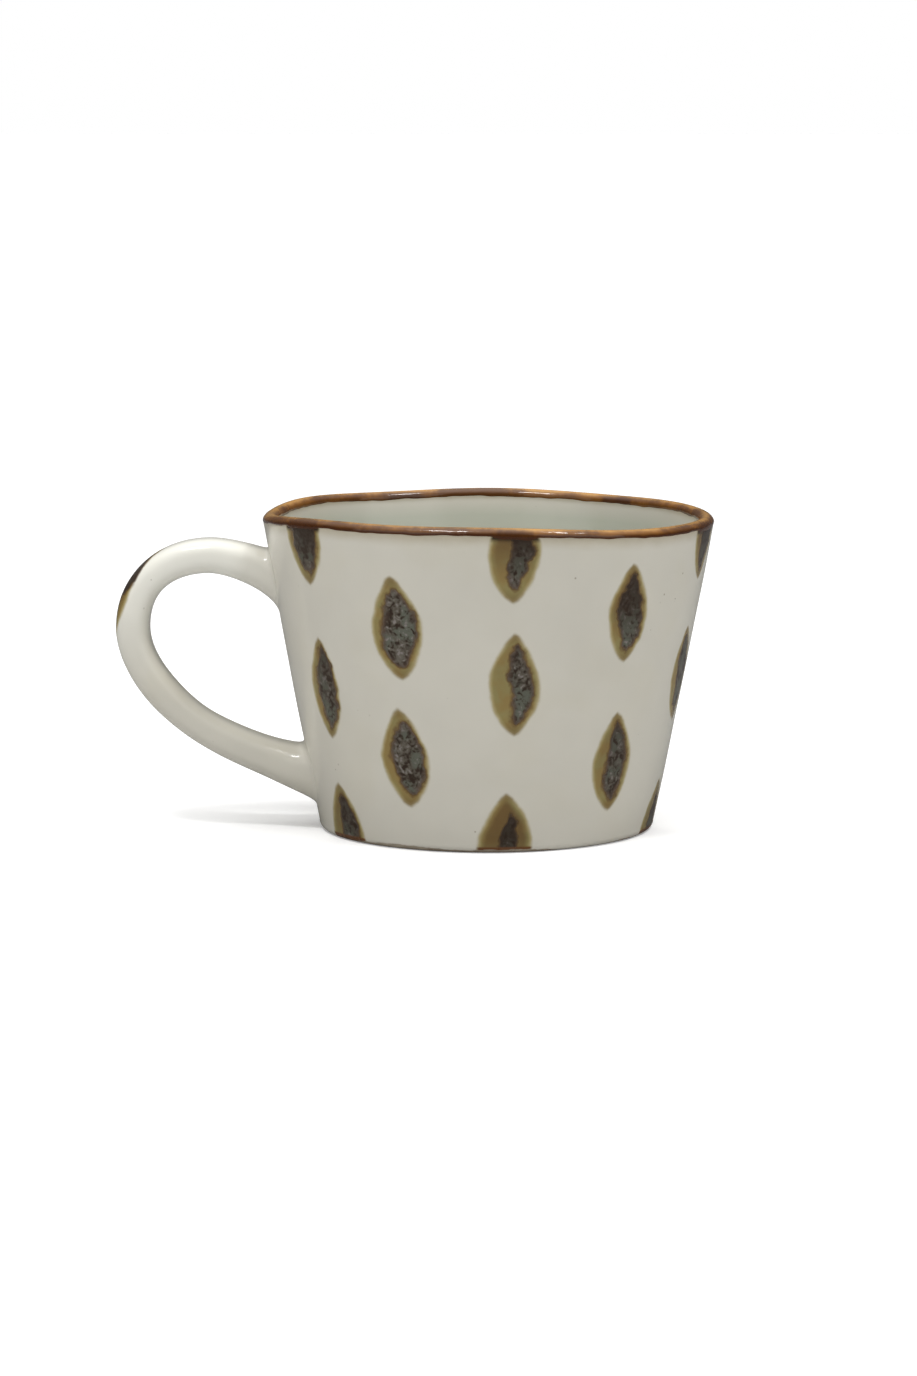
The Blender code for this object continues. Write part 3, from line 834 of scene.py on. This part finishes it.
class MUG_OT_wall(bpy.types.Operator):
    """Make the glazed wall: the outer cone with its leaves, the rounded foot, the inside and the lip"""

    bl_idname = "mug.wall"
    bl_label = "Glazed wall"

    def execute(self, context):
        s = sizes()
        angle = ring_angles(WALL_COLUMNS)[None, :]
        lip_radius, lip_height = lip_profile(0.0, 3.0 * MM, 3.0 * MM, 17)
        down = np.linspace(lip_height[0], s.foot_rounding, 81)[1:]
        turn = np.linspace(0.0, -math.pi / 2.0, 9)[1:]
        foot_centre = outer_radius(s.foot_rounding) - s.foot_rounding
        up = np.linspace(0.0, lip_height[-1], 24)[:-1]
        radius = np.concatenate([
            lip_radius[::-1], outer_radius(down), foot_centre + s.foot_rounding * np.cos(turn),
            inner_radius(up)])
        height = np.concatenate([
            lip_height[::-1], down, s.foot_rounding + s.foot_rounding * np.sin(turn), up])
        # The lip runs from the inside to the outside here, so that the loop goes on down the outer side.
        start = len(lip_radius)
        outside = np.zeros(len(radius))
        outside[start - 1:start + len(down)] = 1.0
        radius, height = radius[:, None], height[:, None]
        swell = thumb_marks(angle, height) * outside[:, None]
        points = pressed(radius + swell, angle, height)
        fields = wall_leaf_fields(*np.broadcast_arrays(angle, height))
        inner = np.arange(len(radius)) >= start + len(down) + len(turn)
        hidden = inner[:, None] | (np.arange(len(radius)) < start // 2)[:, None]
        for name in ("leaf_halo", "leaf_core"):
            fields[name] = np.where(hidden, NO_LEAF, fields[name])
        wander = 0.35 * MM * np.sin(3.0 * angle + 1.0) + 0.25 * MM * np.sin(8.0 * angle)
        fields["bare"] = np.clip((1.1 * MM + wander - height) / (1.0 * MM), 0.0, 1.0) * ~inner[:, None]
        fade = np.where(hidden, 1.2 * MM, 3.0 * MM)
        fields["stain"] = np.clip(1.0 - (s.height - s.band_outside - height) / fade, 0.0, 1.0)
        # Marks the inside of the wall, which takes painted shade.
        fields["inside"] = inner[:, None] * 1.0
        hole_angle = HANDLE_ANGLE + PINHOLE[0] * TURN / COLUMNS
        aside = turned_from(angle, hole_angle) * outer_radius(height)
        fields["pinhole"] = np.clip(1.0 - np.hypot(aside, height - PINHOLE[1]) / (1.2 * MM), 0.0, 1.0)
        piece = grid_piece("glazed_wall", points, fields, rows_close=True)
        glaze = glazed_material("wall_glaze", colours().white_glaze, True, True)
        dress(piece, ("wall",), glaze)
        return {"FINISHED"}


class MUG_OT_floor(bpy.types.Operator):
    """Make the floor slab: glazed above, bare clay below"""

    bl_idname = "mug.floor"
    bl_label = "Floor slab"

    def execute(self, context):
        s = sizes()
        angle = ring_angles(FLOOR_COLUMNS)[None, :]
        edge = inner_radius(0.0) - 0.02 * MM
        share = np.linspace(0.0, 1.0, FLOOR_ROWS)
        radius = np.concatenate([edge * share, edge * share[::-1]])[:, None]
        height = np.repeat([s.floor_thickness, 0.0], FLOOR_ROWS)[:, None]
        toe = edge - s.coil_size
        dome = 0.20 * MM * np.clip(1.0 - (radius / toe) ** 2, 0.0, 1.0) ** 2 * (height > 0.0)
        points = pressed(radius, angle, height)
        points[..., 2] += dome * np.ones_like(angle)
        fields = {"bare": (height <= 0.0) * 1.0, "stain": 0.0, "inside": 1.0, "pinhole": 0.0}
        creases = (FLOOR_ROWS - 1, FLOOR_ROWS)
        piece = grid_piece("floor_slab", points, fields, rows_close=False, poles=True, creases=creases)
        # The floor's glaze is the darker shaded copy: painted shade inside the cup.
        finish = glazed_material("floor_finish", colours().shaded_inside_glaze, False, True)
        dress(piece, ("floor",), finish)
        return {"FINISHED"}


class MUG_OT_corner(bpy.types.Operator):
    """Make the smoothed coil in the inside corner, hollow on its face and flush with wall and floor"""

    bl_idname = "mug.corner"
    bl_label = "Corner coil"

    def execute(self, context):
        s = sizes()
        angle = ring_angles(COIL_COLUMNS)[None, :]
        turn = np.linspace(-math.pi / 2.0, 0.0, 20)
        low = s.floor_thickness
        corner = inner_radius(low)
        reach = s.coil_size
        slope = inner_radius(low + reach) - corner
        hollow_radius = corner - reach + reach * np.cos(turn) + slope * (1.0 + np.sin(turn))
        hollow_height = low + reach + reach * np.sin(turn)
        back_radius = np.array([corner + slope + 0.4 * MM, corner + 0.6 * MM, corner - reach])
        back_height = np.array([low + reach, low - 0.5 * MM, low - 0.4 * MM])
        radius = np.concatenate([hollow_radius, back_radius])[:, None]
        height = np.concatenate([hollow_height, back_height])[:, None]
        points = pressed(radius, angle, height)
        piece = grid_piece("corner_fillet", points, {}, rows_close=True, creases=(0, len(turn) - 1))
        # The coil's glaze is the darker shaded copy: painted shade inside the cup.
        glaze = glazed_material("corner_glaze", colours().shaded_inside_glaze, False, False)
        dress(piece, ("corner_coil",), glaze)
        return {"FINISHED"}


class MUG_OT_rim(bpy.types.Operator):
    """Make the brown band: a bead of iron glaze over the lip with a wandering lower edge"""

    bl_idname = "mug.rim"
    bl_label = "Brown lip band"

    def execute(self, context):
        s = sizes()
        columns, count = BAND_COLUMNS, BAND_ROWS
        angle = ring_angles(columns)
        chance = np.random.default_rng(SEED + 1)
        phases = chance.uniform(0.0, TURN, 12)
        drips = sum(
            np.sin((9 + 7 * number) * angle + phase) / (number + 2) for number, phase in enumerate(phases))
        at_edge = wall_leaf_fields(angle, np.full(columns, s.height - s.band_outside))
        leaf_pull = np.clip(at_edge["leaf_halo"], 0.0, 2.0)
        outside = s.band_outside + 0.16 * MM * drips + 0.25 * MM * leaf_pull
        inside = s.band_inside + 0.14 * MM * np.roll(drips, columns // 3)
        rows = np.linspace(0.0, 1.0, count)
        bead = np.sin(np.pi * rows) ** 0.5
        reach = np.where(rows[:, None] < 0.5, outside[None, :], inside[None, :])
        # The profile is worked out at two depths, and each column reads between them or just past them.
        near, far = 1.8 * MM, 3.4 * MM
        share = (reach - near) / (far - near)
        layers = []
        for lift in (s.band_thickness * bead, np.full(count, -BAND_SINK)):
            at_near = np.array(lip_profile(lift, near, near, count))[..., None]
            at_far = np.array(lip_profile(lift, far, far, count))[..., None]
            layers.append(at_near + (at_far - at_near) * share)
        over_clay, in_clay = layers
        all_radius, all_height = np.concatenate([over_clay, in_clay[:, ::-1]], axis=1)
        points = pressed(all_radius, angle[None, :], all_height)
        over = np.concatenate([1.0 - np.abs(2.0 * rows - 1.0), np.ones(count)])[:, None]
        top = np.clip(1.0 - np.abs(2.2 * rows - 1.1), 0.0, 1.0)
        crest = np.concatenate([top, np.zeros(count)])[:, None]
        leaf = wall_leaf_fields(np.broadcast_to(angle, all_height.shape), all_height)["leaf_halo"]
        inner = np.concatenate([np.clip(2.0 * rows - 0.5, 0.0, 1.0), np.ones(count)])[:, None]
        fields = {"over": over, "crest": crest, "inner": inner, "leaf_halo": leaf}
        piece = grid_piece("brown_lip_band", points, fields, rows_close=True, creases=(0, count - 1))
        dress(piece, ("rim_glaze_band",), iron_material("iron_glaze"))
        return {"FINISHED"}


# ---------------------------------------------------------------------------------------------
# Handle
# ---------------------------------------------------------------------------------------------


def bezier_points(first, second, third, fourth, t):
    """Points of a cubic Bezier span at shares t: the four points weighted by the cubic Bernstein terms."""
    back = 1.0 - t
    return back ** 3 * first + 3 * back ** 2 * t * second + 3 * back * t ** 2 * third + t ** 3 * fourth


class StrapLine:
    """The strap's middle line from root to root, read by distance along it."""

    def __init__(self):
        s = sizes()
        upper_height = s.height - s.upper_root_below_rim
        upper = np.array([-outer_radius(upper_height), 0.0, upper_height])
        lower = np.array([-outer_radius(s.lower_root_height), 0.0, s.lower_root_height])

        def beyond(root, offset):
            return root + np.array([-offset[0], 0.0, offset[1]])

        def pulled(point, direction, length):
            unit = np.array([-direction[0], 0.0, direction[1]]) / math.hypot(*direction)
            return point + unit * length

        crest = beyond(upper, CREST)
        outermost = beyond(upper, OUTERMOST)
        arm = beyond(lower, LOWER_ARM)
        arm_back = tuple(-part for part in LOWER_ARM_DIRECTION)
        root_back = tuple(-part for part in LOWER_ROOT_DIRECTION)
        spans = (
            (upper, pulled(upper, UPPER_ROOT_DIRECTION, UPPER_ROOT_PULL),
             pulled(crest, (-1.0, 0.0), CREST_PULL_IN), crest),
            (crest, pulled(crest, (1.0, 0.0), CREST_PULL_OUT),
             pulled(outermost, (0.0, 1.0), OUTERMOST_PULL_UP), outermost),
            (outermost, pulled(outermost, (0.0, -1.0), OUTERMOST_PULL_DOWN),
             pulled(arm, arm_back, LOWER_ARM_PULL), arm),
            (arm, pulled(arm, LOWER_ARM_DIRECTION, LOWER_ARM_PULL),
             pulled(lower, root_back, LOWER_ROOT_PULL), lower),
        )
        t = np.linspace(0.0, 1.0, 200)[:, None]
        parts = [bezier_points(*span, t)[:-1] for span in spans]
        inner = np.concatenate(parts + [lower[None, :]])
        before = inner[0] + (inner[0] - inner[1]) / np.linalg.norm(inner[0] - inner[1]) * RUN_ON
        after = inner[-1] + (inner[-1] - inner[-2]) / np.linalg.norm(inner[-1] - inner[-2]) * RUN_ON
        self.points = np.concatenate([before[None, :], inner, after[None, :]])
        steps = np.linalg.norm(np.diff(self.points, axis=0), axis=1)
        self.reached = np.concatenate([[0.0], np.cumsum(steps)]) - RUN_ON
        self.length = self.reached[-1] - RUN_ON

    def at(self, distance):
        """Points of the line at distances from the upper root."""
        return np.stack([np.interp(distance, self.reached, values) for values in self.points.T], axis=-1)

    def direction(self, distance):
        """Unit directions of the line, taken over a span of a millimetre so that they turn smoothly."""
        ahead = self.at(distance + 0.5 * MM) - self.at(distance - 0.5 * MM)
        return ahead / np.linalg.norm(ahead, axis=-1, keepdims=True)


def strap_half_thickness(line, distance):
    """Half the strap's thickness, swelling towards both roots by an exponential."""
    upper = 1.0 * MM * np.exp(-np.maximum(distance, 0.0) / (8.0 * MM))
    lower = 2.0 * MM * np.exp(-np.maximum(line.length - distance, 0.0) / (8.0 * MM))
    pulled = 0.05 * MM * np.sin(distance / (6.5 * MM)) + 0.04 * MM * np.sin(distance / (3.1 * MM) + 1.0)
    return sizes().strap_thickness / 2.0 + upper + lower + pulled


def strap_section(angle):
    """The strap's section for a half thickness of one: a superellipse, as thickness and width.

    Each is the cosine or the sine of the angle, its size raised to a power and its sign kept.
    """
    power = 2.0 / SECTION_SQUARENESS
    ratio = sizes().strap_width / sizes().strap_thickness
    thick, wide = (np.sign(side) * np.abs(side) ** power for side in (np.cos(angle), np.sin(angle)))
    return thick, ratio * wide


def strap_rings(line, distance, angle):
    """Rings of the strap's section, carried square to the line."""
    centre = line.at(distance)[:, None, :]
    ahead = line.direction(distance)
    upward = np.stack([ahead[:, 2], np.zeros(len(distance)), -ahead[:, 0]], axis=-1)[:, None, :]
    half = strap_half_thickness(line, distance)[:, None]
    thick, wide = (half * side for side in strap_section(angle))
    sideways = np.array([0.0, 1.0, 0.0])
    return centre + upward * thick[..., None] + sideways * wide[..., None]


def wall_surface(angle, height):
    """Points of the wall's outer face, thumb marks included."""
    return pressed(outer_radius(height) + thumb_marks(angle, height), angle, height)


def wall_coordinates(points):
    """Angle, unpressed height and gap to the outer face for points near the wall."""
    s = sizes()
    height = points[..., 2].copy()
    for _ in range(4):
        x = points[..., 0] - s.lean * height / s.height
        angle = np.arctan2(points[..., 1], x)
        height = points[..., 2] - waves(RIM_WAVES, angle) * rise_share(height)
    surface = wall_surface(angle, height)
    centre = s.lean * height / s.height
    reach, face = (np.hypot(each[..., 0] - centre, each[..., 1]) for each in (points, surface))
    return angle, height, reach - face


def strap_angles(count):
    """Angles round the strap's section, spread evenly by length along a superellipse."""
    fine = np.linspace(0.0, TURN, 4001)
    thick, wide = strap_section(fine)
    walked = np.concatenate([[0.0], np.cumsum(np.hypot(np.diff(thick), np.diff(wide)))])
    return np.interp(np.linspace(0.0, walked[-1], count, endpoint=False), walked, fine)[None, :]


def handle_leaf(line, distance, points):
    """Leaf fields on the strap's outer face, near the top of its outward bend."""
    # The first column runs along the middle of the outer face.
    steps = np.linalg.norm(points - np.roll(points, 1, axis=1), axis=-1)
    steps[:, 0] = 0.0
    round_way = np.cumsum(steps, axis=1)
    whole = round_way[:, -1:] + np.linalg.norm(points[:, :1] - points[:, -1:], axis=-1)
    across = np.where(round_way > whole / 2.0, round_way - whole, round_way) + HANDLE_LEAF_ASIDE
    along = np.broadcast_to((HANDLE_LEAF_AT - distance)[:, None], across.shape)
    halo, _, tip, load = leaf_fields(across, along, *HANDLE_LEAF)
    core = leaf_fields(across, along - HANDLE_CORE_RISE, *HANDLE_LEAF)[1]
    return {"leaf_halo": halo, "leaf_core": core, "leaf_tip": tip, "leaf_load": load, "leaf_foot": 0.0}


def painted_light_share(distance):
    """Share of a lighter glaze along the strap, painted light on its top: a smooth hump that is full from
    crest to outer bend.
    """
    return (eased(distance / (12.0 * MM)) * eased((62.0 * MM - distance) / (36.0 * MM)))[:, None]


def joint_rows(line, at_upper, angle):
    """Rows of points from the strap's ring at the joint to the wall, and on into it.

    Each thread of the strap is followed to where it meets the wall. The joint leaves the strap along
    the thread and lands on the wall moving outwards along it, as a cubic Bezier, so that it is tangent
    to both. The last rows close it inside the wall.
    """
    s = sizes()
    sign = 1.0 if at_upper else -1.0
    root = 0.0 if at_upper else line.length
    ring_at = root + sign * s.joint_length
    rings = strap_rings(line, np.array([ring_at + sign * 0.1 * MM, ring_at]), angle)
    start = rings[1]
    leaving = rings[1] - rings[0]
    leaving /= np.linalg.norm(leaving, axis=-1, keepdims=True)
    walk = np.linspace(s.joint_length, -14.0 * MM, 260)
    threads = strap_rings(line, root + sign * walk, angle)
    gap = wall_coordinates(threads)[2]
    first = np.argmax(gap <= 0.0, axis=0)
    column = np.arange(gap.shape[1])
    before, after = gap[first - 1, column], gap[first, column]
    share = (before / (before - after))[:, None]
    landing = threads[first - 1, column] * (1.0 - share) + threads[first, column] * share
    turn, height, _ = wall_coordinates(landing)
    turn = turn % TURN
    mid_turn, mid_height = turn.mean(), height.mean()
    right = (turn - mid_turn) * outer_radius(height)
    up = height - mid_height
    reach = np.hypot(right, up)
    under = np.clip(-up / reach, 0.0, 1.0) if at_upper else np.clip(up / reach, 0.0, 1.0)
    flare = (1.5 * MM + 0.9 * MM * under) / reach
    feet = []
    for push in (1.0, 1.02):
        pushed_up = up * (1.0 + flare) * push
        pushed_right = right * (1.0 + flare) * push
        pushed_height = mid_height + pushed_up
        feet.append(wall_surface(mid_turn + pushed_right / outer_radius(pushed_height), pushed_height))
    foot = feet[0]
    outward = feet[1] - feet[0]
    outward /= np.linalg.norm(outward, axis=-1, keepdims=True)
    run = np.linalg.norm(landing - start, axis=-1, keepdims=True)
    spread = np.linalg.norm(landing - foot, axis=-1, keepdims=True)
    t = np.linspace(0.0, 1.0, JOINT_ROWS)[:, None, None]
    first_pull = start + leaving * run * 0.62
    last_pull = foot - outward * spread * 0.92
    rows = bezier_points(start, first_pull, last_pull, foot, t)
    inside = foot * np.array([0.98, 0.98, 1.0])
    centre = np.broadcast_to(inside.mean(axis=0), foot.shape)
    plug_ring = strap_rings(line, np.array([ring_at + sign * 1.0 * MM]), angle)[0]
    plug = np.broadcast_to(plug_ring.mean(axis=0), foot.shape)
    return np.concatenate([plug[None], rows, inside[None], centre[None]])


class MUG_OT_handle(bpy.types.Operator):
    """Make the pulled strap with its leaf, and the worked clay where each end meets the wall"""

    bl_idname = "mug.handle"
    bl_label = "Handle and its joints"

    def execute(self, context):
        s = sizes()
        line = StrapLine()
        angle = strap_angles(STRAP_COLUMNS)
        distance = np.linspace(s.joint_length, line.length - s.joint_length, STRAP_ROWS)
        points = strap_rings(line, distance, angle)
        ends = [np.broadcast_to(points[row].mean(axis=0), points[row].shape)[None] for row in (0, -1)]
        whole = np.concatenate([ends[0], points, ends[1]])
        stations = np.concatenate([distance[:1], distance, distance[-1:]])
        glaze = glazed_material("handle_glaze", colours().white_glaze, True, False)
        fields = handle_leaf(line, stations, whole)
        # Painted light: a lighter glaze along the strap's top and outer bend.
        fields["painted_light_glaze"] = painted_light_share(stations)
        strap = grid_piece("handle_strap", whole, fields, False, True, (1, -2))
        dress(strap, ("handle",), glaze)
        joint_glaze = glazed_material("joint_glaze", colours().white_glaze, False, False)
        for name, node, at_upper in (
            ("upper_joint_clay", "upper_handle_joint", True),
            ("lower_joint_clay", "lower_handle_joint", False),
        ):
            rows = joint_rows(line, at_upper, angle)
            # pooled here is the strap's painted light, fading out over each joint.
            at_root = painted_light_share(stations[[0 if at_upper else -1]])
            pooled = np.linspace(1.0, 0.0, len(rows))[:, None] * at_root
            joint = grid_piece(name, rows, {"painted_light_glaze": pooled}, False, True, (1, len(rows) - 3))
            dress(joint, (node,), joint_glaze)
        return {"FINISHED"}


# ---------------------------------------------------------------------------------------------
# Stage
# ---------------------------------------------------------------------------------------------


def soft_light(name, place, width, depth, power):
    """A rectangular soft light that faces the mug."""
    data = bpy.data.lights.new(name, "AREA")
    data.shape = "RECTANGLE"
    data.size = width
    data.size_y = depth
    data.energy = power
    lamp = bpy.data.objects.new(name, data)
    lamp.location = place
    lamp.rotation_euler = (Vector(LIGHT_AIM) - Vector(place)).to_track_quat("-Z", "Y").to_euler()
    bpy.context.scene.collection.objects.link(lamp)


class MUG_OT_stage(bpy.types.Operator):
    """Set the pale floor, the soft lights and the camera"""

    bl_idname = "mug.stage"
    bl_label = "Stage, lights and camera"

    def execute(self, context):
        scene = context.scene
        count = 9
        edge = np.linspace(-FLOOR_REACH, FLOOR_REACH, count)
        x, y = np.meshgrid(edge, edge)
        mesh = bpy.data.meshes.new("studio_floor")
        index = np.arange(count * count).reshape(count, count)
        corners = (index[:-1, :-1], index[:-1, 1:], index[1:, 1:], index[1:, :-1])
        quads = np.stack(corners, -1).reshape(-1, 4)
        flat = np.stack([x, y, np.full_like(x, TABLE - 0.02 * MM)], axis=-1).reshape(-1, 3)
        mesh.from_pydata(flat.tolist(), [], quads.tolist())
        floor = bpy.data.objects.new("studio_floor", mesh)
        scene.collection.objects.link(floor)
        made, nodes, shader = new_material("pale_floor")
        grain = nodes.noise(nodes.place(), 6.0, 3.0)
        pale = nodes.blend(nodes.times(grain, 0.04), colours().stage_floor, FLOOR_PATCH)
        path = nodes.add("ShaderNodeLightPath").outputs
        bounced = nodes.blend(path["Is Glossy Ray"], colours().bounced_floor, colours().mirrored_floor)
        nodes.put(shader.inputs["Base Color"], nodes.blend(path["Is Camera Ray"], bounced, pale))
        shader.inputs["Roughness"].default_value = 0.9
        shader.inputs["Specular IOR Level"].default_value = 0.1
        shader.inputs["Emission Color"].default_value = (1.0, 1.0, 1.0, 1.0)
        nodes.put(shader.inputs["Emission Strength"], nodes.times(path["Is Camera Ray"], FLOOR_GLOW))
        mesh.materials.append(made)

        world = bpy.data.worlds.new("studio_world")
        world.use_nodes = True
        scene.world = world
        sky = Nodes(world.node_tree)
        split = sky.add("ShaderNodeSeparateXYZ", {0: sky.add("ShaderNodeTexCoord").outputs["Generated"]})
        rise = sky.math("MAXIMUM", split.outputs["Z"], 0.0)
        haze = sky.step(sky.math("ABSOLUTE", split.outputs["Z"]), 0.060, 0.035)
        dome = sky.fused(sky.math("POWER", rise, 3.0), DOME_TOP, DOME_SIDE)
        seen = sky.times(haze, sky.add("ShaderNodeLightPath").outputs["Is Camera Ray"])
        sky.put(world.node_tree.nodes["Background"].inputs["Strength"], sky.math("MAXIMUM", dome, seen))
        world.node_tree.nodes["Background"].inputs["Color"].default_value = (1.0, 1.0, 1.0, 1.0)
        for softbox in SOFTBOXES:
            soft_light(*softbox)

        lens = bpy.data.cameras.new("studio_camera")
        lens.sensor_width = CAMERA_SENSOR
        lens.lens = CAMERA_LENS
        lens.clip_start = 0.01
        camera = bpy.data.objects.new("studio_camera", lens)
        camera.location = CAMERA_PLACE
        view = Vector(CAMERA_AIM) - Vector(CAMERA_PLACE)
        camera.rotation_euler = view.to_track_quat("-Z", "Y").to_euler()
        scene.collection.objects.link(camera)
        scene.camera = camera
        scene.view_settings.view_transform = "Standard"
        return {"FINISHED"}


# ---------------------------------------------------------------------------------------------
# Panel and registration
# ---------------------------------------------------------------------------------------------

MAKERS = (MUG_OT_wall, MUG_OT_floor, MUG_OT_corner, MUG_OT_rim, MUG_OT_handle, MUG_OT_stage)


class MUG_PT_panel(bpy.types.Panel):
    """The mug's operators, sizes and colours"""

    bl_idname = "MUG_PT_panel"
    bl_label = "Stoneware mug"
    bl_space_type = "VIEW_3D"
    bl_region_type = "UI"
    bl_category = "Mug"

    def draw(self, context):
        for maker in MAKERS:
            self.layout.operator(maker.bl_idname)
        for settings in (context.scene.mug_sizes, context.scene.mug_colours):
            box = self.layout.box()
            for name in settings.__annotations__:
                box.prop(settings, name)


CLASSES = (MugSizes, MugColours, *MAKERS, MUG_PT_panel)


def register():
    """Register the classes and hang the settings on the scene."""
    for each in CLASSES:
        bpy.utils.register_class(each)
    bpy.types.Scene.mug_sizes = bpy.props.PointerProperty(type=MugSizes)
    bpy.types.Scene.mug_colours = bpy.props.PointerProperty(type=MugColours)


def unregister():
    """Take the settings off the scene and unregister the classes."""
    del bpy.types.Scene.mug_colours
    del bpy.types.Scene.mug_sizes
    for each in reversed(CLASSES):
        bpy.utils.unregister_class(each)


def main():
    """Make every piece and the stage."""
    register()
    bpy.ops.mug.stage()
    bpy.ops.mug.wall()
    bpy.ops.mug.floor()
    bpy.ops.mug.corner()
    bpy.ops.mug.rim()
    bpy.ops.mug.handle()


if __name__ == "__main__":
    main()
